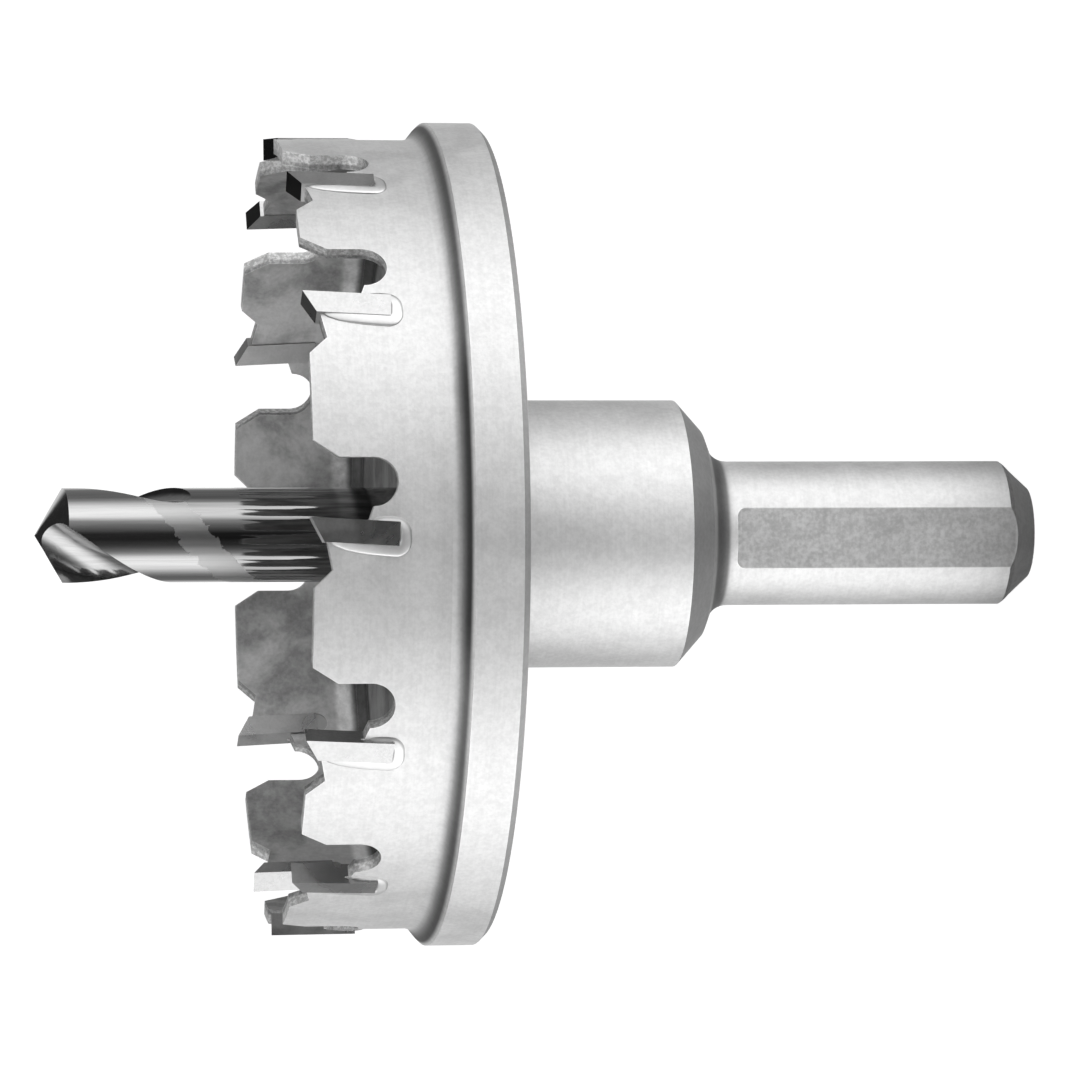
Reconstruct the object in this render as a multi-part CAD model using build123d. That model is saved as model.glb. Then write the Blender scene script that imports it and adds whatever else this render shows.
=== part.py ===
from build123d import *
import os
from math import acos, cos, degrees, radians, sin, sqrt, tan

# Hole saw with carbide teeth: one turned body, twelve brazed teeth, a pilot drill and its grub screw.
# The axis is Z. Z is 0 at the flat end of the shank and grows towards the tip of the pilot drill.
# Lengths are in millimetres and angles in degrees.

# Shank
shank_diameter = 10.0
shank_length = 23.35
shank_end_diameter = 6.3
shank_end_chamfer = 2.05
shank_end_ease = 0.55
shank_end_bow = 0.03
shank_root_slope = 21.5
shank_root_fillet = 1.7

# Ground flats that the chuck jaws bear on
flat_count = 3
flat_depth = 0.46
flat_length = 21.3
flat_corner_radius = 0.6
flat_angle = -98.3

# Hub
hub_diameter = 18.5
hub_length = 15.7
hub_chamfer_width = 1.95
hub_chamfer_length = 1.75

# Flange that stops the cut
flange_diameter = 56.7
flange_thickness = 3.9
flange_back_chamfer = 0.45
flange_front_chamfer = 0.3
flange_front_slope = 38.5
flange_front_fillet = 0.8

# Cup wall
cup_diameter = 54.3
cup_wall = 1.0
cup_height = 10.05
cup_floor_rise = 0.8
cup_floor_chamfer = 0.7

# Teeth, with the uneven pitches that keep the cut quiet
tooth_pitches = (26.5, 33, 31.5, 28, 30, 26.5, 32.5, 33.5, 28.5, 28.5, 28, 33.5)
first_tooth_angle = -32.2
tooth_rise = 0.25
tooth_width = 1.56
tooth_length = 5.8
tooth_thickness = 1.5
tooth_outside_stand = 0.35
tooth_axial_rake = 3.2
tooth_top_relief = 31.0
tooth_side_relief = 5.5

# Gullet ahead of each tooth, in the wall seen from outside
gullet_radius = 1.6
gullet_depth = 5.5
gullet_far_wall = 3.9
gullet_mouth_slope = 1.1
gullet_mouth_depth = 1.7
gullet_shelf_rise = 0.55

# Notch behind each tooth
notch_length = 3.0
notch_depth = 1.2
notch_start_depth = 0.68
notch_end_slope = 1.15

# Pilot drill
drill_diameter = 6.5
drill_projection = 16.32
drill_lip_fall = 0.585
drill_point_slope = 28.05
drill_point_lean = 5.8
drill_chisel_offset = 20.0
drill_lip_angle = 0.0
drill_bore_clearance = 0.02
drill_bore_depth = 16.0
drill_point_gap = 0.1
drill_end_chamfer = 0.4
bore_point_angle = 118.0

# Flutes of the pilot drill
flute_radius = 3.0
flute_web = 1.52
flute_lead = 35.0
flute_taper = 0.215
flute_taper_length = 5.2
flute_run_out = 3.4
flute_run_out_rise = 0.62
flute_stations = 7

# Grub screw across the hub
screw_diameter = 5.0
screw_length = 5.0
screw_clearance = 0.02
screw_key_size = 2.5
screw_key_depth = 2.2
screw_end_chamfer = 0.5
screw_mouth_chamfer = 0.4
screw_angle = 90.0
screw_below_flange = 6.5
clamp_flat_depth = 0.35
clamp_flat_length = 7.0

# Radii and levels that follow from the sizes above
shank_radius = shank_diameter / 2
hub_radius = hub_diameter / 2
hub_end_radius = hub_radius - hub_chamfer_width
flange_radius = flange_diameter / 2
cup_radius = cup_diameter / 2
cup_inner_radius = cup_radius - cup_wall
flange_back = shank_length + hub_length
flange_front = flange_back + flange_thickness
cup_floor = flange_front + cup_floor_rise
rim = flange_front + cup_height
tooth_tip = rim + tooth_rise
drill_radius = drill_diameter / 2
drill_tip = rim + drill_projection
bore_radius = drill_radius + drill_bore_clearance
bore_bottom = cup_floor - drill_bore_depth
drill_bottom = bore_bottom + drill_point_gap
screw_level = flange_back - screw_below_flange
screw_seat = drill_radius - clamp_flat_depth
tooth_outer = cup_radius + tooth_outside_stand
tooth_inner = tooth_outer - tooth_thickness
pocket_depth = tooth_length + tooth_width / 2

# How far a cutting shape runs past what it cuts
past = 2.0


def side_view(angle):
    """Plane that looks outwards at an angle of the rim: x runs ahead of the tooth, y up the axis."""
    turn = radians(angle)
    return Plane(origin=(0, 0, 0), x_dir=(-sin(turn), cos(turn), 0), z_dir=(cos(turn), sin(turn), 0))


def through_wall(outline, angle):
    """The outline carried through the cup wall, square to the plane of side_view."""
    start = cup_inner_radius - past
    return extrude(side_view(angle).offset(start) * outline, cup_wall + 2 * past)


def tooth_angles():
    """Angle of the leading corner of each tooth, against the cut from tooth to tooth."""
    angles = [first_tooth_angle]
    for pitch in tooth_pitches[:-1]:
        angles.append(angles[-1] - pitch)
    return angles


def shank_end():
    """Outline of the shank's end: a cone whose outer edge is eased by a shallow bow."""
    slant = Line((shank_end_diameter / 2, 0), (shank_radius, shank_end_chamfer))
    along = slant % 0.5
    out = along.rotate(Axis.Z, -90)
    turn = slant @ 1 - along * shank_end_ease / along.X
    middle = (turn + slant @ 1) / 2 + out * shank_end_bow
    return [Line((0, 0), slant @ 0), Line(slant @ 0, turn), ThreePointArc(turn, middle, slant @ 1)]


def turned_profile():
    """Half section of the body, with the fillets at the root of the shank and in front of the flange."""
    root_corner = shank_length - (hub_end_radius - shank_radius) * tan(radians(shank_root_slope))
    front_edge = flange_radius - flange_front_chamfer
    front_corner = flange_front + (front_edge - cup_radius) * tan(radians(flange_front_slope))
    outline = Polyline(
        (shank_radius, shank_end_chamfer),
        (shank_radius, root_corner),
        (hub_end_radius, shank_length),
        (hub_radius, shank_length + hub_chamfer_length),
        (hub_radius, flange_back),
        (flange_radius - flange_back_chamfer, flange_back),
        (flange_radius, flange_back + flange_back_chamfer),
        (flange_radius, flange_front - flange_front_chamfer),
        (front_edge, flange_front),
        (cup_radius, front_corner),
        (cup_radius, rim),
        (cup_inner_radius, rim),
        (cup_inner_radius, cup_floor + cup_floor_chamfer),
        (cup_inner_radius - cup_floor_chamfer, cup_floor),
        (0, cup_floor),
        (0, 0),
    )
    profile = make_face(shank_end() + [outline])
    corners = (
        ((shank_radius, root_corner), shank_root_fillet),
        ((cup_radius, front_corner), flange_front_fillet),
    )
    for (x, y), size in corners:
        corner = profile.vertices().sort_by_distance((x, y, 0))[0]
        profile = fillet(corner, size)
    return Plane.XZ * profile


def shank_flats():
    """What the grinding of the flats takes away, open at the end of the shank."""
    distance = shank_radius - flat_depth
    width = 2 * sqrt(shank_radius**2 - distance**2)
    slab = RectangleRounded(width, flat_length + past, flat_corner_radius)
    middle = (flat_length - past) / 2
    cuts = []
    for number in range(flat_count):
        face = side_view(flat_angle + number * 360 / flat_count).offset(distance)
        cuts.append(extrude(face * Pos(0, middle) * slab, past))
    return cuts


def pilot_bore():
    """Bore for the pilot drill, with the cone that a drill leaves at its bottom."""
    cone_depth = bore_radius / tan(radians(bore_point_angle / 2))
    hole = Polyline(
        (0, bore_bottom - cone_depth),
        (bore_radius, bore_bottom),
        (bore_radius, cup_floor + past),
        (0, cup_floor + past),
        close=True,
    )
    return revolve(Plane.XZ * make_face(hole), Axis.Z)


def screw_hole():
    """Tapped cross hole, from the pilot bore out through the hub, with a chamfered mouth."""
    radius = screw_diameter / 2
    hole = Polyline(
        (0, 0),
        (radius, 0),
        (radius, hub_radius - screw_mouth_chamfer),
        (radius + screw_mouth_chamfer + past, hub_radius + past),
        (0, hub_radius + past),
        close=True,
    )
    turned = revolve(Plane.XZ * make_face(hole), Axis.Z)
    return side_view(screw_angle) * Pos(0, screw_level, 0) * turned


def tooth_slot(length):
    """Side view of the slot that a tooth stands in, from past the rim down to a length from its tip."""
    slot = Pos(-tooth_width / 2, (past - length) / 2) * Rectangle(tooth_width, length + past)
    return Pos(0, tooth_tip) * Rot(0, 0, -tooth_axial_rake) * slot


def pocket_outline():
    """The slot with the round end that the braze fills."""
    end_radius = tooth_width / 2
    end = Pos(-end_radius, end_radius - pocket_depth) * Circle(end_radius)
    return tooth_slot(tooth_length) + Pos(0, tooth_tip) * Rot(0, 0, -tooth_axial_rake) * end


def gullet_outline():
    """Gullet ahead of a tooth: a sloped mouth, a steep far wall, a round floor and a shelf at the tooth."""
    level = rim - gullet_depth + gullet_radius
    middle = gullet_far_wall - gullet_radius
    inside = -tooth_width / 2
    mouth = gullet_far_wall + gullet_mouth_slope
    right = Line((mouth, rim + past), (mouth, rim))
    slope = Line(right @ 1, (mouth - gullet_mouth_slope, rim - gullet_mouth_depth))
    wall = Line(slope @ 1, (gullet_far_wall, level))
    floor = ThreePointArc(wall @ 1, (middle, level - gullet_radius), (middle - gullet_radius, level))
    shelf = Line(floor @ 1, (inside, level + gullet_shelf_rise))
    left = Line(shelf @ 1, (inside, rim + past))
    top = Line(left @ 1, right @ 0)
    return make_face([right, slope, wall, floor, shelf, left, top])


def notch_outline():
    """Notch behind a tooth, falling away from it and then rising to the rim."""
    front = -tooth_width / 2
    bottom = -tooth_width - notch_length + notch_end_slope
    back = -tooth_width - notch_length
    notch = Polyline(
        (front, rim + past),
        (front, rim - notch_start_depth),
        (bottom, rim - notch_depth),
        (back, rim),
        (back, rim + past),
        close=True,
    )
    return make_face(notch)


def cutter_body():
    """Shank, hub, flange and cup in one piece, with every cut that is made in them."""
    blank = revolve(turned_profile(), Axis.Z)
    cuts = shank_flats() + [pilot_bore(), screw_hole()]
    gap = gullet_outline() + pocket_outline() + notch_outline()
    for angle in tooth_angles():
        cuts.append(through_wall(gap, angle))
    return blank - cuts


def tooth(angle):
    """Carbide tooth: a block with a sloped top and a relieved outer face, tilted by its axial rake."""
    top_fall = tooth_width * tan(radians(tooth_top_relief))
    side_fall = tooth_width * tan(radians(tooth_side_relief))
    side = Polyline(
        (0, 0),
        (0, -tooth_length),
        (-tooth_width, -tooth_length),
        (-tooth_width, -top_fall),
        close=True,
    )
    face = Pos(0, tooth_tip) * Rot(0, 0, -tooth_axial_rake) * make_face(side)
    block = extrude(side_view(angle).offset(tooth_inner) * face, tooth_thickness)
    relief = Polyline(
        (past, tooth_outer),
        (0, tooth_outer),
        (-tooth_width - past, tooth_outer - side_fall * (tooth_width + past) / tooth_width),
        (-tooth_width - past, tooth_outer + past),
        (past, tooth_outer + past),
        close=True,
    )
    across = Plane(side_view(angle).origin, x_dir=side_view(angle).x_dir, z_dir=(0, 0, -1))
    return block - extrude(across * make_face(relief), -tooth_tip - past)


def braze(angle):
    """Braze in the round end of a pocket, dressed flat and level with both faces of the cup wall."""
    fill = pocket_outline() - tooth_slot(tooth_length)
    return extrude(side_view(angle).offset(cup_inner_radius) * fill, cup_wall)


def flute_distance(depth):
    """Distance from the axis to the middle of the flute's circle, at a depth below the drill's corner."""
    straight = flute_radius + flute_web / 2 + flute_taper * max(0.0, depth)
    past_taper = max(0.0, depth - flute_taper_length)
    return straight + flute_run_out_rise * (past_taper / flute_run_out) ** 2


def flute(angle):
    """Helical flute of the pilot drill, which grows shallower from the point on and then runs out."""
    corner = drill_tip - drill_lip_fall * drill_radius
    top = drill_tip + past - corner
    bottom = -(flute_taper_length + flute_run_out + drill_end_chamfer)
    circles = []
    for number in range(flute_stations):
        height = top + (bottom - top) * number / (flute_stations - 1)
        turn = radians(angle + height * 360 / flute_lead)
        distance = flute_distance(-height)
        circles.append(Pos(distance * cos(turn), distance * sin(turn), corner + height) * Circle(flute_radius))
    return loft(circles)


def point_relief(lip_angle):
    """What grinding one side of the point takes off: all above a leaning cone, which falls behind its lip."""
    cone_height = 6 * drill_radius
    cone_radius = cone_height / tan(radians(drill_point_slope))
    cone = Cone(cone_radius, 0, cone_height, align=(Align.CENTER, Align.CENTER, Align.MAX))
    side = Box(2 * drill_diameter, drill_diameter, 2 * drill_diameter, align=(Align.CENTER, Align.MAX, Align.CENTER))
    above = Pos(0, 0, past / 2) * side - Rot(drill_point_lean, 0, 0) * cone
    return Pos(0, 0, drill_tip) * Rot(0, 0, lip_angle + drill_chisel_offset) * above


def pilot_drill():
    """Pilot drill with two flutes, its ground point and the flat that the grub screw bears on."""
    middle = flute_distance(0)
    half_cosine = (drill_radius**2 + middle**2 - flute_radius**2) / (2 * drill_radius * middle)
    half_width = degrees(acos(half_cosine))
    length = drill_tip - drill_bottom
    rod = Cylinder(drill_radius, length, align=(Align.CENTER, Align.CENTER, Align.MIN))
    rod = chamfer(rod.edges().sort_by(Axis.Z)[0], drill_end_chamfer)
    rod = Pos(0, 0, drill_bottom) * Rot(0, 0, drill_lip_angle + half_width) * rod
    cuts = []
    for turn in (0, 180):
        lip = drill_lip_angle + turn
        cuts.append(point_relief(lip))
        cuts.append(flute(lip + half_width))
    flat = Rectangle(drill_diameter, clamp_flat_length)
    face = side_view(screw_angle).offset(screw_seat)
    cuts.append(extrude(face * Pos(0, screw_level) * flat, past))
    for cut in cuts:
        rod -= cut
    return rod


def set_screw():
    """Grub screw with a hexagon socket, chamfered at both ends, its point on the drill's flat."""
    radius = screw_diameter / 2 - screw_clearance
    body = Cylinder(radius, screw_length, align=(Align.CENTER, Align.CENTER, Align.MIN))
    body = chamfer(body.edges().filter_by(GeomType.CIRCLE), screw_end_chamfer)
    socket = RegularPolygon(screw_key_size / 2, 6, major_radius=False)
    body -= Pos(0, 0, screw_length) * extrude(socket, -screw_key_depth)
    return side_view(screw_angle) * Pos(0, screw_level, screw_seat) * body


def write_parts():
    """One file for each piece."""
    os.makedirs("parts", exist_ok=True)
    pieces = {"cutter_body": cutter_body(), "pilot_drill": pilot_drill(), "set_screw": set_screw()}
    for number, angle in enumerate(tooth_angles(), 1):
        pieces[f"tooth_{number:02d}"] = tooth(angle)
        pieces[f"braze_{number:02d}"] = braze(angle)
    for name, piece in pieces.items():
        export_step(piece, f"parts/{name}.step")


write_parts()
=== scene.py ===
from math import cos, pi, radians, sin

import bpy
from mathutils import Matrix, Vector


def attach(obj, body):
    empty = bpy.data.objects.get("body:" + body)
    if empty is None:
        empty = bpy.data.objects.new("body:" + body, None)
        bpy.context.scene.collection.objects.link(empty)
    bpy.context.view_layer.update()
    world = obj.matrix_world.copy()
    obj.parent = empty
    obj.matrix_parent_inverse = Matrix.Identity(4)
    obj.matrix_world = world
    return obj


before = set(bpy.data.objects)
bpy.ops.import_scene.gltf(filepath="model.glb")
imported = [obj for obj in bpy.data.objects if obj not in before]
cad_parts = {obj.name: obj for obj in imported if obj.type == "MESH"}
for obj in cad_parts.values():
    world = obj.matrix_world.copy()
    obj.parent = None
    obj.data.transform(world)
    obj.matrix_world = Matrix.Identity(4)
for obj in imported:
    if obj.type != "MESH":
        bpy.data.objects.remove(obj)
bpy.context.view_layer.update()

MM = 0.001

# Camera, as it stood to the saw: lengths in metres, angles in degrees
CAMERA_PLACE = (-0.029634, -0.413704, 0.095567)
CAMERA_YAW = 8.3698
CAMERA_PITCH = 4.0435
CAMERA_ROLL = 0.7805
CAMERA_LENS = 203.71
CAMERA_SENSOR = 36.0

# Studio cards that the saw mirrors, level with the camera.
# Each has its angle round the saw's axis from the camera, and its share of full strength.
LEVEL_CARDS = (
    (-180, 0.50),
    (-160, 0.42),
    (-140, 0.12),
    (-116, 0.14),
    (-104, 0.38),
    (-90, 0.78),
    (-78, 0.95),
    (-62, 0.97),
    (-55, 0.72),
    (-46, 0.30),
    (-36, 0.10),
    (-24, 0.03),
    (-10, 0.012),
    (3, 0.015),
    (13, 0.08),
    (24, 0.19),
    (32, 0.32),
    (38, 0.68),
    (43, 1.0),
    (66, 0.94),
    (76, 0.72),
    (86, 0.30),
    (98, 0.13),
    (138, 0.14),
    (158, 0.45),
    (180, 0.50),
)
# The same above and below the level of the camera, where the dark gap between the cards is narrower
SLANTED_CARDS = (
    (-180, 0.50),
    (-160, 0.42),
    (-140, 0.14),
    (-116, 0.16),
    (-104, 0.42),
    (-90, 0.80),
    (-78, 0.95),
    (-55, 0.97),
    (-45, 0.85),
    (-36, 0.76),
    (-26, 0.48),
    (-15, 0.12),
    (-6, 0.05),
    (4, 0.16),
    (15, 0.58),
    (26, 0.88),
    (36, 1.0),
    (66, 0.94),
    (78, 0.72),
    (90, 0.32),
    (104, 0.14),
    (138, 0.15),
    (158, 0.45),
    (180, 0.50),
)
# And high up, where only the two large cards reach
HIGH_CARDS = (
    (-180, 0.02),
    (-108, 0.02),
    (-90, 0.75),
    (-56, 0.75),
    (-42, 0.02),
    (36, 0.02),
    (50, 0.75),
    (80, 0.75),
    (96, 0.02),
    (180, 0.02),
)

# Studio: lengths in metres, and brightness as a share of full strength
STUDIO_STRENGTH = 2.15
STUDIO_REACH = 1.2
STUDIO_HEIGHT = 1.7
STUDIO_SIDES = 64
STUDIO_CENTRE = 45 * MM
STUDIO_ZENITH = 0.3
STUDIO_UNDER = 0.05
FOOT_HEIGHT = 0.05 * MM
FLOOR_SIZE = 6
FLOOR_WHITE = 0.9
FLOOR_GREY = 0.3

# Sines of the elevations between which one ring of cards passes into the next
LEVEL_RISE = -0.12
SLANT_RANGE = (0.16, 0.28)
HIGH_RANGE = (0.35, 0.6)
ZENITH_RANGE = (0.97, 0.99)

# Sizes and levels of the saw, in millimetres and degrees
CUP_RADIUS = 27.15
CUP_INSIDE = 26.6
FLANGE_FRONT = 42.95
SHANK_RADIUS = 5.0
FLAT_LENGTH = 21.3
TOOTH_TIP = 53.25
TOOTH_WIDTH = 1.56
TOOTH_LENGTH = 5.8
TOOTH_RAKE = 3.2
TOOTH_PITCHES = (26.5, 33, 31.5, 28, 30, 26.5, 32.5, 33.5, 28.5, 28.5, 28, 33.5)
FIRST_TOOTH = -32.2

# Where the marks and the painted shade on the steel fade in and out, in millimetres.
# OUT is a distance from the axis, FOOT the lower end of a mark and HEAD its upper end.
FLAT_OUT = (SHANK_RADIUS - 0.01, SHANK_RADIUS - 0.04)
FLAT_FOOT = (1.6, 1.8)
FLAT_HEAD = (FLAT_LENGTH + 0.3, FLAT_LENGTH + 0.1)
SHANK_ROOT_FOOT = (21.3, 22.5)
SHANK_ROOT_HEAD = (23.15, 22.75)
SHANK_ROOT_OUT = (6.6, 6.2)
INSIDE_OUT = (CUP_INSIDE, CUP_INSIDE - 0.2)
INSIDE_FOOT = (43.2, 43.4)
PALE_BAND_FOOT = (44.7, 45.1)
PALE_BAND_HEAD = (46.2, 45.7)
WALL_ROOT_HEAD = (45.0, 44.4)
WALL_ROOT_OUT = (24.0, 25.4)
BOTTOM_HEAD = (44.0, 43.8)
CORNER_MIDDLE = FLANGE_FRONT + 0.08
CORNER_HEIGHT = 0.92
CORNER_FOOT = (42.7, 42.97)
CORNER_OUT = (CUP_INSIDE, CUP_INSIDE + 0.2)
CUT_FOOT = (45.0, 45.4)
REAR_SHADE_FOOT = (3, 5)

# Angles from the camera's side between which the painted shade in the flange's corner is lighter and narrower
CORNER_SHADE_THIN_FROM = (15, 27)
CORNER_SHADE_THIN_TO = (95, 40)

# Light band that winds round the drill, by its level on the side of the camera, in millimetres and degrees
BAND_FOOT = (57.38, 57.48)
BAND_HEAD = (60.12, 60.02)
BAND_RISE = 0.0462
BAND_RAGGED = 0.35
BAND_AROUND = (150, 120)

# Bead of braze round a tooth, in millimetres: how far it reaches past the tooth and its other sizes
BEAD_TRAILING = 0.80
BEAD_LEADING = 0.45
BEAD_END = 0.88
BEAD_TAPER = 0.22
BEAD_TOP = 52.4
BEAD_SHELF = 49.25
BEAD_ROUND = 1.15
BEAD_ROUND_STEPS = 6
BEAD_SPLIT = 0.1
BEAD_ROOT = 0.35
BEAD_SINK = 0.08
# Its rings from the wall up, each with its width and its rise
BEAD_RINGS = ((0.10, 0.09), (0.38, 0.10), (0.36, 0.06), (0.06, -0.30))
CLOSE = 0.01


def place_camera():
    """Camera that looks along +Y with +X up and -Z to the right, then turned by its angles."""
    yaw, pitch, roll = radians(CAMERA_YAW), radians(CAMERA_PITCH), radians(CAMERA_ROLL)
    right = Vector((0, -sin(yaw), -cos(yaw)))
    back = Vector((0, -cos(yaw), sin(yaw)))
    up = Vector((cos(pitch), 0, 0)) + back * sin(pitch)
    back_tilted = back * cos(pitch) - Vector((sin(pitch), 0, 0))
    right_rolled = right * cos(roll) - up * sin(roll)
    up_rolled = right * sin(roll) + up * cos(roll)
    data = bpy.data.cameras.new("camera")
    data.lens = CAMERA_LENS
    data.sensor_width = CAMERA_SENSOR
    data.clip_start = 0.01
    data.clip_end = 20
    camera = bpy.data.objects.new("camera", data)
    bpy.context.scene.collection.objects.link(camera)
    turn = Matrix((right_rolled, up_rolled, back_tilted)).transposed()
    camera.matrix_world = Matrix.Translation(CAMERA_PLACE) @ turn.to_4x4()
    bpy.context.scene.camera = camera


def add(tree, kind, settings=None, **inputs):
    """A node with its settings and inputs, which go by number, as i0, or by name: a value or a socket."""
    node = tree.nodes.new(kind)
    for key, value in (settings or {}).items():
        setattr(node, key, value)
    for key, value in inputs.items():
        by_number = key[0] == "i" and key[1:].isdigit()
        socket = node.inputs[int(key[1:])] if by_number else node.inputs[key]
        if isinstance(value, bpy.types.NodeSocket):
            tree.links.new(value, socket)
        else:
            socket.default_value = value
    return node


def maths(tree, operation, first, second=0.0, third=0.0):
    """Result of a sum on numbers or sockets."""
    return add(tree, "ShaderNodeMath", {"operation": operation}, i0=first, i1=second, i2=third).outputs[0]


def vector_maths(tree, operation, first, second=(0, 0, 0)):
    """Node of a sum on vectors."""
    return add(tree, "ShaderNodeVectorMath", {"operation": operation}, i0=first, i1=second)


def ease(tree, value, low, high, start=0.0, end=1.0):
    """Smooth step of a value from low to high."""
    node = add(tree, "ShaderNodeMapRange", {"interpolation_type": "SMOOTHSTEP"}, i0=value)
    for place, number in zip(("From Min", "From Max", "To Min", "To Max"), (low, high, start, end)):
        node.inputs[place].default_value = number
    return node.outputs[0]


def within(tree, value, rising, falling):
    """Mask that eases in over one pair of values and out over another."""
    return maths(tree, "MULTIPLY", ease(tree, value, *rising), ease(tree, value, *falling))


def changed(tree, value, mask, share):
    """A value that changes by a share of itself where the mask is 1."""
    return maths(tree, "MULTIPLY", value, maths(tree, "MULTIPLY_ADD", mask, share, 1.0))


def blend(tree, factor, low, high):
    """Number between two others by a factor."""
    return add(tree, "ShaderNodeMix", {"data_type": "FLOAT"}, i0=factor, i2=low, i3=high).outputs[0]


def noise(tree, place, scale, detail, roughness, distortion=0.0):
    """Level of a noise at a place."""
    node = add(
        tree, "ShaderNodeTexNoise",
        i0=place, Scale=scale, Detail=detail, Roughness=roughness, Distortion=distortion,
    )
    return node.outputs[0]


def colour_by(tree, shader, tone):
    """Gives the shader a grey base colour by its tone."""
    grey = add(tree, "ShaderNodeCombineColor", i0=tone, i1=tone, i2=tone)
    tree.links.new(grey.outputs[0], shader.inputs["Base Color"])


def relief(tree, shader, height, strength, distance):
    """Gives the shader a relief, with its depth in millimetres."""
    bump = add(tree, "ShaderNodeBump", Strength=strength, Distance=distance * MM, Height=height)
    tree.links.new(bump.outputs[0], shader.inputs["Normal"])


def object_place(tree):
    """Place on the saw."""
    return tree.nodes.new("ShaderNodeTexCoord").outputs["Object"]


def surface_normal(tree):
    """Normal of the surface."""
    return tree.nodes.new("ShaderNodeNewGeometry").outputs["Normal"]


def new_group(name, inputs, outputs):
    """Node group with number sockets, with its entry and its result."""
    tree = bpy.data.node_groups.new(name, "ShaderNodeTree")
    for label in inputs:
        tree.interface.new_socket(label, in_out="INPUT", socket_type="NodeSocketFloat")
    for label in outputs:
        tree.interface.new_socket(label, in_out="OUTPUT", socket_type="NodeSocketFloat")
    return tree, tree.nodes.new("NodeGroupInput"), tree.nodes.new("NodeGroupOutput")


def use_group(tree, group, **inputs):
    """A node that uses a group, with its inputs by name."""
    node = tree.nodes.new("ShaderNodeGroup")
    node.node_tree = group
    for key, value in inputs.items():
        node.inputs[key].default_value = value
    return node


def new_material(name):
    """Material with its tree and its shader."""
    material = bpy.data.materials.new(name)
    material.use_nodes = True
    tree = material.node_tree
    return material, tree, tree.nodes["Principled BSDF"]


def card_ramp(tree, share, cards):
    """Brightness of one ring of cards by the share of a full turn."""
    ramp = add(tree, "ShaderNodeValToRGB", i0=share)
    stops = ramp.color_ramp.elements
    while len(stops) < len(cards):
        stops.new(0.5)
    for stop, (degrees, level) in zip(stops, cards):
        stop.position = degrees / 360 + 0.5
        stop.color = (level, level, level, 1)
    return ramp.outputs[0]


def angle_at(tree, place):
    """Angle of a place round the saw's axis from the camera's side, in radians."""
    split = add(tree, "ShaderNodeSeparateXYZ", i0=place)
    towards = maths(tree, "MULTIPLY", split.outputs["Y"], -1)
    return maths(tree, "ARCTAN2", split.outputs["X"], towards)


def studio_level(tree, place):
    """Brightness of the studio at a place, from its angle round the saw's axis and its height."""
    share = maths(tree, "MULTIPLY_ADD", angle_at(tree, place), 1 / (2 * pi), 0.5)
    from_centre = vector_maths(tree, "SUBTRACT", place, (0, 0, STUDIO_CENTRE))
    direction = vector_maths(tree, "NORMALIZE", from_centre.outputs[0])
    rise = add(tree, "ShaderNodeSeparateXYZ", i0=direction.outputs[0]).outputs["Z"]
    slant = ease(tree, maths(tree, "ABSOLUTE", maths(tree, "ADD", rise, -LEVEL_RISE)), *SLANT_RANGE)
    level_ring = card_ramp(tree, share, LEVEL_CARDS)
    slanted_ring = card_ramp(tree, share, SLANTED_CARDS)
    high_ring = card_ramp(tree, share, HIGH_CARDS)
    level = blend(tree, slant, level_ring, slanted_ring)
    level = blend(tree, ease(tree, rise, *HIGH_RANGE), level, high_ring)
    return blend(tree, ease(tree, rise, *ZENITH_RANGE), level, STUDIO_ZENITH)


def make_card(name, piece, dark_near=None):
    """Turns a new piece into a card that lights the saw and shows in its metal only.

    The card may be dark near the saw's axis, up to a pair of distances in millimetres.
    """
    bpy.ops.object.transform_apply(location=True)
    piece.name = name
    piece.visible_camera = False
    material, tree, shader = new_material(name)
    tree.nodes.remove(shader)
    place = object_place(tree)
    level = studio_level(tree, place)
    if dark_near:
        flat = vector_maths(tree, "MULTIPLY", place, (1, 1, 0))
        reach = vector_maths(tree, "LENGTH", flat.outputs[0]).outputs["Value"]
        near, far = dark_near
        level = blend(tree, ease(tree, reach, near * MM, far * MM), STUDIO_UNDER, level)
    glow = add(tree, "ShaderNodeEmission", Strength=maths(tree, "MULTIPLY", level, STUDIO_STRENGTH))
    tree.links.new(glow.outputs[0], tree.nodes["Material Output"].inputs["Surface"])
    piece.data.materials.append(material)


def round_plate(height):
    """Round plate over the whole studio."""
    bpy.ops.object.select_all(action="DESELECT")
    bpy.ops.mesh.primitive_circle_add(
        vertices=STUDIO_SIDES, radius=STUDIO_REACH, location=(0, 0, height), fill_type="NGON"
    )
    return bpy.context.object


def build_floor():
    """Floor that stays white in the picture and in the metal, and still takes the saw's shadow."""
    bpy.ops.object.select_all(action="DESELECT")
    bpy.ops.mesh.primitive_plane_add(size=FLOOR_SIZE, location=(0, 0, 0))
    floor = bpy.context.object
    floor.name = "floor"
    material, tree, shader = new_material("floor_white")
    path = tree.nodes.new("ShaderNodeLightPath")
    seen = maths(tree, "MAXIMUM", path.outputs["Is Camera Ray"], path.outputs["Is Glossy Ray"])
    seen = maths(tree, "MAXIMUM", seen, path.outputs["Is Transmission Ray"])
    tree.links.new(maths(tree, "MULTIPLY", seen, FLOOR_WHITE), shader.inputs["Emission Strength"])
    shader.inputs["Base Color"].default_value = (FLOOR_GREY, FLOOR_GREY, FLOOR_GREY, 1)
    shader.inputs["Roughness"].default_value = 1
    shader.inputs["Specular IOR Level"].default_value = 0
    shader.inputs["Emission Color"].default_value = (1, 1, 1, 1)
    floor.data.materials.append(material)


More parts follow.
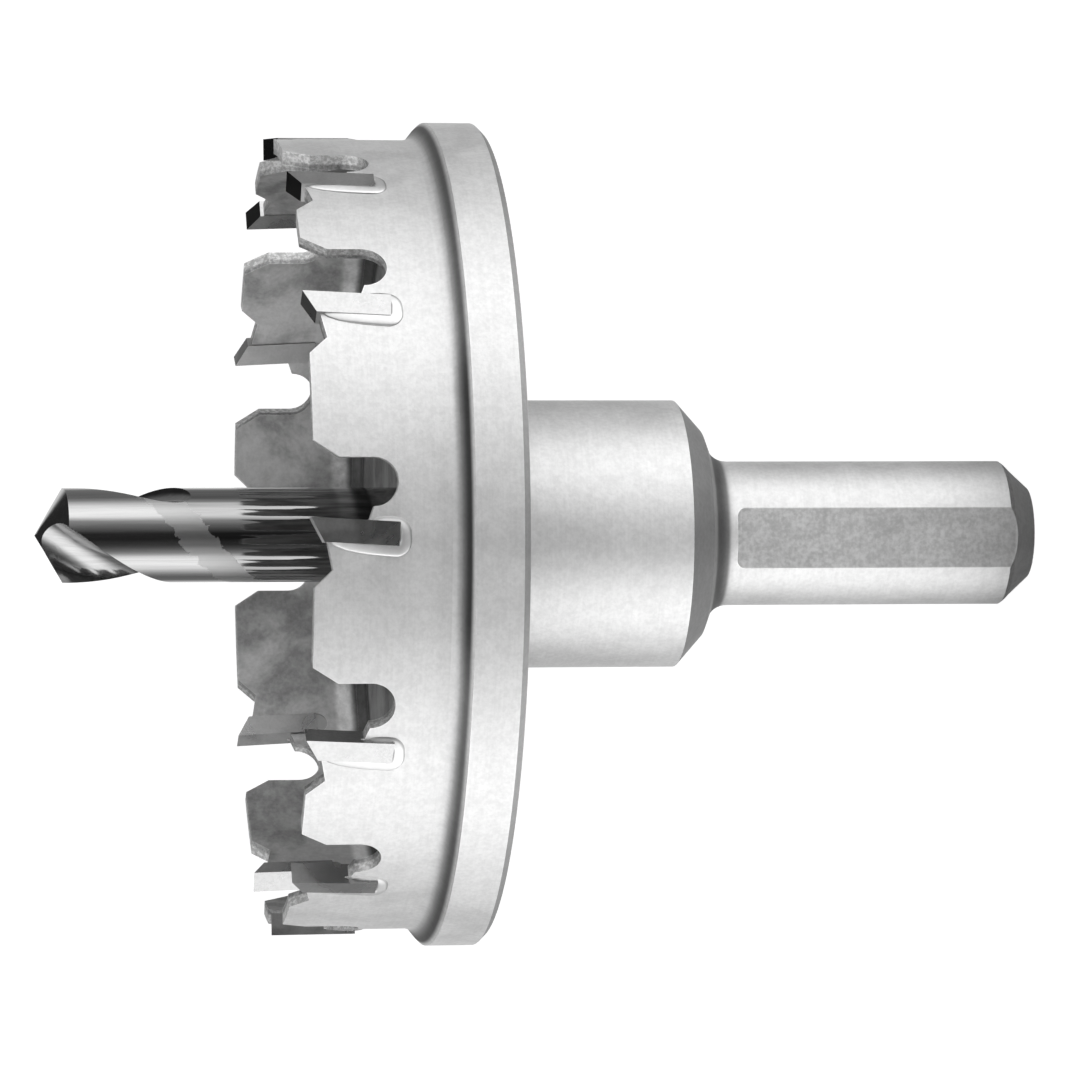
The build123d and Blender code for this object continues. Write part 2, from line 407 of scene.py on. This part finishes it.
def build_studio():
    """White room and floor, with cards round the saw that the camera doesn't see."""
    world = bpy.data.worlds.new("white_room")
    bpy.context.scene.world = world
    world.use_nodes = True
    world.node_tree.nodes["Background"].inputs["Color"].default_value = (1, 1, 1, 1)
    world.node_tree.nodes["Background"].inputs["Strength"].default_value = 1

    bpy.ops.object.select_all(action="DESELECT")
    bpy.ops.mesh.primitive_cylinder_add(
        vertices=STUDIO_SIDES,
        radius=STUDIO_REACH,
        depth=STUDIO_HEIGHT,
        location=(0, 0, STUDIO_HEIGHT / 2),
        end_fill_type="NOTHING",
    )
    make_card("wall_cards", bpy.context.object)
    make_card("top_card", round_plate(STUDIO_HEIGHT))
    foot = round_plate(FOOT_HEIGHT)
    foot.visible_diffuse = False
    foot.visible_shadow = False
    make_card("foot_card", foot, dark_near=(8, 26))
    build_floor()


def place_masks(tree):
    """Place on the saw, distance from its axis and height in millimetres, and angle in degrees."""
    place = object_place(tree)
    flat = vector_maths(tree, "MULTIPLY", place, (1 / MM, 1 / MM, 0))
    out = vector_maths(tree, "LENGTH", flat.outputs[0]).outputs["Value"]
    split = add(tree, "ShaderNodeSeparateXYZ", i0=place)
    level = maths(tree, "MULTIPLY", split.outputs["Z"], 1 / MM)
    turn = maths(tree, "MULTIPLY", angle_at(tree, place), 180 / pi)
    return place, out, level, turn


def grain_group():
    """Fine grain of a blasted face and its larger clouds, each about 0.5, with a height for relief."""
    tree, entry, result = new_group("blast_grain", ["Scale"], ["Grain", "Clouds", "Height"])
    place = object_place(tree)
    fine = noise(tree, place, entry.outputs["Scale"], 3.0, 0.6)
    coarse = noise(tree, place, 1400.0, 2.0, 0.5)
    clouds = noise(tree, place, 260.0, 3.0, 0.55, 0.6)
    both = maths(tree, "MULTIPLY_ADD", coarse, 0.4, maths(tree, "MULTIPLY", fine, 0.6))
    tree.links.new(ease(tree, both, 0.34, 0.66), result.inputs["Grain"])
    tree.links.new(ease(tree, clouds, 0.35, 0.65), result.inputs["Clouds"])
    tree.links.new(fine, result.inputs["Height"])
    return tree


def edge_group():
    """Mask of the edges, for wear from handling and a painted edge highlight, from how far a rounded normal
    leaves the true one.
    """
    tree, entry, result = new_group("edge_rounding", ["Radius"], ["Edge"])
    rounded = add(tree, "ShaderNodeBevel", {"samples": 4}, Radius=entry.outputs["Radius"])
    match = vector_maths(tree, "DOT_PRODUCT", rounded.outputs[0], surface_normal(tree))
    tree.links.new(ease(tree, match.outputs["Value"], 0.995, 0.9), result.inputs["Edge"])
    return tree


def mottled(tree, fine, tone, grain_share, cloud_share):
    """A tone with the shares of grain and clouds that a finish shows."""
    tone = maths(tree, "MULTIPLY_ADD", fine.outputs["Grain"], grain_share, tone)
    if cloud_share:
        tone = maths(tree, "MULTIPLY_ADD", fine.outputs["Clouds"], cloud_share, tone)
    return tone


def mark_shank(tree, tone, fine, out, level):
    """Darker speckle on the ground flats, and painted shade at the root of the shank."""
    on_flat = maths(tree, "MULTIPLY", ease(tree, out, *FLAT_OUT), within(tree, level, FLAT_FOOT, FLAT_HEAD))
    speckle = maths(tree, "MULTIPLY_ADD", fine.outputs["Grain"], 0.09, -0.175)
    tone = maths(tree, "MULTIPLY_ADD", on_flat, speckle, tone)
    # Painted shade in the corner at the root of the shank
    root_shade = within(tree, level, SHANK_ROOT_FOOT, SHANK_ROOT_HEAD)
    root_shade = maths(tree, "MULTIPLY", root_shade, ease(tree, out, *SHANK_ROOT_OUT))
    return changed(tree, tone, root_shade, -0.55)


def mark_inside(tree, tone, fine, place, out, level):
    """Stains inside the cup, with a paler band low on the wall, and painted shade at the foot of the wall and
    on the cup's floor.
    """
    stains_and_shade = ease(tree, noise(tree, place, 210.0, 5.0, 0.62, 0.3), 0.36, 0.64, 0.27, 0.55)
    stains_and_shade = mottled(tree, fine, stains_and_shade, 0.08, 0)
    # A paler band low on the wall inside the cup
    stains_and_shade = changed(tree, stains_and_shade, within(tree, level, PALE_BAND_FOOT, PALE_BAND_HEAD), 0.55)
    # Painted shade at the foot of the wall inside the cup
    root = maths(tree, "MULTIPLY", ease(tree, level, *WALL_ROOT_HEAD), ease(tree, out, *WALL_ROOT_OUT))
    stains_and_shade = changed(tree, stains_and_shade, root, -0.8)
    # Painted shade on the cup's floor
    stains_and_shade = changed(tree, stains_and_shade, ease(tree, level, *BOTTOM_HEAD), -0.4)
    inside = maths(tree, "MULTIPLY", ease(tree, out, *INSIDE_OUT), ease(tree, level, *INSIDE_FOOT))
    return blend(tree, inside, tone, stains_and_shade)


def paint_corner_shade(tree, tone, out, level, turn):
    """Painted shade in the corner in front of the flange, lighter and narrower at some angles from the
    camera's side.
    """
    shade_thinned = within(tree, maths(tree, "ABSOLUTE", turn), CORNER_SHADE_THIN_FROM, CORNER_SHADE_THIN_TO)
    rise = changed(tree, maths(tree, "SUBTRACT", level, CORNER_MIDDLE), shade_thinned, 0.55)
    corner = maths(tree, "MULTIPLY", ease(tree, rise, CORNER_HEIGHT, 0), ease(tree, level, *CORNER_FOOT))
    corner = maths(tree, "MULTIPLY", corner, ease(tree, out, *CORNER_OUT))
    # Darkens the tone by painted shade in the corner, less where it thins
    return changed(tree, tone, corner, maths(tree, "MULTIPLY_ADD", shade_thinned, 0.2, -0.9))


def mark_faces(tree, tone, place, level):
    """Milled look of the faces cut through the wall, and painted shade on faces turned towards the shank."""
    normal = surface_normal(tree)
    flat = vector_maths(tree, "MULTIPLY", place, (1, 1, 0))
    outward = vector_maths(tree, "NORMALIZE", flat.outputs[0])
    facing_out = vector_maths(tree, "DOT_PRODUCT", outward.outputs[0], normal).outputs["Value"]
    cut = ease(tree, maths(tree, "ABSOLUTE", facing_out), 0.75, 0.6)
    cut = maths(tree, "MULTIPLY", cut, ease(tree, level, *CUT_FOOT))
    milled = ease(tree, noise(tree, place, 3800.0, 3.0, 0.7), 0.40, 0.62, 0.68, 1.06)
    tone = maths(tree, "MULTIPLY", tone, blend(tree, cut, 1.0, milled))
    facing = add(tree, "ShaderNodeSeparateXYZ", i0=normal).outputs["Z"]
    # Painted shade on faces turned down towards the shank, by the direction of their normal
    rear_shade = maths(tree, "MULTIPLY", ease(tree, facing, -0.25, -0.45), ease(tree, level, *REAR_SHADE_FOOT))
    return changed(tree, tone, rear_shade, -0.55)


def blasted_steel(grain, edge):
    """Bead-blasted steel of the body, with lathe lines and stains, edges lightened by wear and a painted
    highlight, and painted shade in its corners and on faces turned towards the shank.
    """
    material, tree, shader = new_material("blasted_steel")
    place, out, level, turn = place_masks(tree)
    fine = use_group(tree, grain, Scale=3600)
    edge_mask = use_group(tree, edge, Radius=0.12 * MM).outputs["Edge"]
    lathe = add(tree, "ShaderNodeMapping", i0=place, Scale=(0.02, 0.02, 1)).outputs[0]
    lines = ease(tree, noise(tree, lathe, 5200.0, 2.0, 0.6), 0.35, 0.65, -0.5, 0.5)
    tone = mottled(tree, fine, 0.645, 0.08, 0.03)
    tone = maths(tree, "MULTIPLY_ADD", lines, 0.02, tone)
    tone = mark_shank(tree, tone, fine, out, level)
    tone = mark_inside(tree, tone, fine, place, out, level)
    # Painted shade in the corner in front of the flange
    tone = paint_corner_shade(tree, tone, out, level, turn)
    tone = mark_faces(tree, tone, place, level)
    # Lighter edges: wear, and partly a painted highlight
    tone = maths(tree, "MULTIPLY_ADD", edge_mask, 0.1, tone)
    colour_by(tree, shader, tone)
    rough = ease(tree, fine.outputs["Clouds"], 0, 1, 0.57, 0.62)
    tree.links.new(maths(tree, "MULTIPLY_ADD", edge_mask, -0.15, rough), shader.inputs["Roughness"])
    shader.inputs["Metallic"].default_value = 1
    relief(tree, shader, fine.outputs["Height"], 0.55, 0.02)
    return material


def carbide(grain):
    """Ground carbide, with painted shade on its ground top, the faces turned up the saw's axis."""
    material, tree, shader = new_material("carbide")
    fine = use_group(tree, grain, Scale=5200)
    facing = add(tree, "ShaderNodeSeparateXYZ", i0=surface_normal(tree)).outputs["Z"]
    tone = mottled(tree, fine, 0.41, 0.06, 0.05)
    # Faces turned up the saw's axis get a nearly black tone as painted shade
    colour_by(tree, shader, blend(tree, ease(tree, facing, 0.5, 0.75), tone, 0.07))
    rough = ease(tree, fine.outputs["Clouds"], 0, 1, 0.26, 0.34)
    tree.links.new(rough, shader.inputs["Roughness"])
    shader.inputs["Metallic"].default_value = 1
    relief(tree, shader, fine.outputs["Height"], 0.15, 0.01)
    return material


def brazing(grain):
    """Silver braze, brighter and smoother than the blasted steel, with a darker rim on the wall."""
    material, tree, shader = new_material("braze")
    _, out, _, _ = place_masks(tree)
    fine = use_group(tree, grain, Scale=3000)
    tone = mottled(tree, fine, 0.68, 0.05, 0.05)
    rim = ease(tree, out, CUP_RADIUS + 0.08, CUP_RADIUS + 0.03)
    colour_by(tree, shader, changed(tree, tone, rim, -0.45))
    rough = ease(tree, fine.outputs["Clouds"], 0, 1, 0.44, 0.54)
    tree.links.new(rough, shader.inputs["Roughness"])
    shader.inputs["Metallic"].default_value = 1
    relief(tree, shader, fine.outputs["Height"], 0.3, 0.015)
    return material


def drill_steel(edge):
    """Polished drill with lengthwise streaks, a duller skin towards the point and a lighter band round it."""
    material, tree, shader = new_material("drill_steel")
    place, _, level, turn = place_masks(tree)
    edge_mask = use_group(tree, edge, Radius=0.06 * MM).outputs["Edge"]
    drawn = add(tree, "ShaderNodeMapping", i0=place, Scale=(1, 1, 0.03)).outputs[0]
    streak = ease(tree, noise(tree, drawn, 3200.0, 3.0, 0.6), 0.3, 0.7)
    ragged = ease(tree, noise(tree, place, 1100.0, 4.0, 0.65), 0.25, 0.75, -BAND_RAGGED, BAND_RAGGED)
    helix = maths(tree, "ADD", maths(tree, "MULTIPLY_ADD", turn, -BAND_RISE, level), ragged)
    around = ease(tree, maths(tree, "ABSOLUTE", turn), *BAND_AROUND)
    band = maths(tree, "MULTIPLY", within(tree, helix, BAND_FOOT, BAND_HEAD), around)
    skin = ease(tree, helix, *reversed(BAND_HEAD))
    tone = maths(tree, "MULTIPLY_ADD", streak, 0.06, blend(tree, skin, 0.26, 0.35))
    tone = maths(tree, "MULTIPLY_ADD", band, 0.10, tone)
    # Lighter edges: wear, and partly a painted highlight
    colour_by(tree, shader, maths(tree, "MULTIPLY_ADD", edge_mask, 0.08, tone))
    rough = blend(tree, band, blend(tree, skin, 0.045, 0.13), 0.34)
    tree.links.new(maths(tree, "MULTIPLY_ADD", streak, 0.03, rough), shader.inputs["Roughness"])
    shader.inputs["Metallic"].default_value = 1
    height = maths(tree, "MULTIPLY_ADD", band, 0.5, maths(tree, "MULTIPLY", streak, 0.12))
    relief(tree, shader, height, 0.2, 0.01)
    return material


def black_screw(grain, edge):
    """Black oxide with its edges rubbed to grey."""
    material, tree, shader = new_material("black_screw")
    fine = use_group(tree, grain, Scale=4000)
    edge_mask = use_group(tree, edge, Radius=0.1 * MM).outputs["Edge"]
    tone = mottled(tree, fine, 0.03, 0.02, 0)
    colour_by(tree, shader, maths(tree, "MULTIPLY_ADD", edge_mask, 0.15, tone))
    rough = ease(tree, fine.outputs["Clouds"], 0, 1, 0.3, 0.45)
    tree.links.new(rough, shader.inputs["Roughness"])
    shader.inputs["Metallic"].default_value = 0.6
    relief(tree, shader, fine.outputs["Height"], 0.3, 0.02)
    return material


def dress(piece, material):
    """Gives a piece one material."""
    piece.data.materials.clear()
    piece.data.materials.append(material)


def select_parts(mesh, kind, test):
    """In edit mode, selects the polygons or edges that pass a test on themselves and their corners."""
    bpy.ops.mesh.select_mode(type="FACE" if kind == "polygons" else "EDGE")
    bpy.ops.mesh.select_all(action="DESELECT")
    bpy.ops.object.mode_set(mode="OBJECT")
    for part in getattr(mesh, kind):
        corners = [mesh.vertices[index].co / MM for index in part.vertices]
        part.select = test(part, corners)
    bpy.ops.object.mode_set(mode="EDIT")


def near(value, target):
    """Whether a length in millimetres is the one looked for."""
    return abs(value - target) < CLOSE


def model_bead():
    """Bead at angle 0, which runs behind the tooth, round its end and up to the gullet."""
    bottom = TOOTH_TIP - TOOTH_LENGTH - BEAD_END
    behind = -TOOTH_WIDTH - BEAD_TRAILING
    middle = -BEAD_SPLIT
    face = CUP_RADIUS - BEAD_SINK
    size = (BEAD_ROOT - BEAD_SINK, middle - behind, BEAD_TOP - bottom)
    place = (face - size[0] / 2, (middle + behind) / 2, (BEAD_TOP + bottom) / 2)
    bpy.ops.object.select_all(action="DESELECT")
    bpy.ops.mesh.primitive_cube_add(
        size=1, location=[length * MM for length in place], scale=[length * MM for length in size]
    )
    piece = bpy.context.object
    bpy.ops.object.transform_apply(location=True, scale=True)
    mesh = piece.data

    def ahead_of_middle(part, corners):
        return all(near(c.y, middle) and c.z < BEAD_SHELF + CLOSE for c in corners)

    def top_edge_behind(part, corners):
        return all(near(c.z, BEAD_TOP) and near(c.y, behind) for c in corners)

    def bottom_side_edge(part, corners):
        return all(near(c.z, bottom) for c in corners) and near(corners[0].y, corners[1].y)

    def outer_face(part, corners):
        return part.normal.x > 0.9

    bpy.ops.object.mode_set(mode="EDIT")
    bpy.ops.mesh.select_all(action="SELECT")
    bpy.ops.mesh.bisect(plane_co=(0, 0, BEAD_SHELF * MM), plane_no=(0, 0, 1))
    select_parts(mesh, "polygons", ahead_of_middle)
    reach = (BEAD_LEADING - middle) * MM
    bpy.ops.mesh.extrude_region_move(TRANSFORM_OT_translate={"value": (0, reach, 0)})
    bpy.ops.mesh.select_all(action="SELECT")
    bpy.ops.mesh.dissolve_limited(angle_limit=radians(1))
    select_parts(mesh, "edges", top_edge_behind)
    bpy.ops.transform.translate(value=(0, BEAD_TAPER * MM, 0))
    select_parts(mesh, "edges", bottom_side_edge)
    bpy.ops.mesh.bevel(offset=BEAD_ROUND * MM, segments=BEAD_ROUND_STEPS)
    select_parts(mesh, "polygons", outer_face)
    for width, rise in BEAD_RINGS:
        bpy.ops.mesh.inset(thickness=width * MM, depth=rise * MM)
    bpy.ops.mesh.select_all(action="SELECT")
    bpy.ops.mesh.normals_make_consistent(inside=False)
    bpy.ops.object.mode_set(mode="OBJECT")
    modifier = piece.modifiers.new("rounding", "SUBSURF")
    modifier.levels = 2
    modifier.render_levels = 2
    bpy.ops.object.modifier_apply(modifier=modifier.name)
    bpy.ops.object.shade_smooth()
    return piece


def add_beads(material):
    """One bead for each tooth, tilted as the tooth is and turned to its place."""
    model = model_bead()
    to_tip = Matrix.Translation((0, 0, TOOTH_TIP * MM))
    model.data.transform(to_tip @ Matrix.Rotation(radians(-TOOTH_RAKE), 4, "X") @ to_tip.inverted())
    pieces = [model]
    for _ in TOOTH_PITCHES[1:]:
        pieces.append(bpy.data.objects.new("bead", model.data.copy()))
        bpy.context.scene.collection.objects.link(pieces[-1])
    angle = FIRST_TOOTH
    for number, (piece, pitch) in enumerate(zip(pieces, TOOTH_PITCHES), 1):
        piece.name = f"braze_bead_{number:02d}"
        piece.data.name = piece.name
        piece.data.transform(Matrix.Rotation(radians(angle), 4, "Z"))
        dress(piece, material)
        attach(piece, "root")
        angle -= pitch


place_camera()
build_studio()

grain = grain_group()
edge = edge_group()
finishes = {
    "cutter_body": blasted_steel(grain, edge),
    "tooth": carbide(grain),
    "braze": brazing(grain),
    "pilot_drill": drill_steel(edge),
    "set_screw": black_screw(grain, edge),
}
for name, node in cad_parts.items():
    kind = name.split("_")[0] if name[-1].isdigit() else name
    dress(node, finishes[kind])
add_beads(finishes["braze"])

bpy.context.scene.view_settings.view_transform = "Standard"
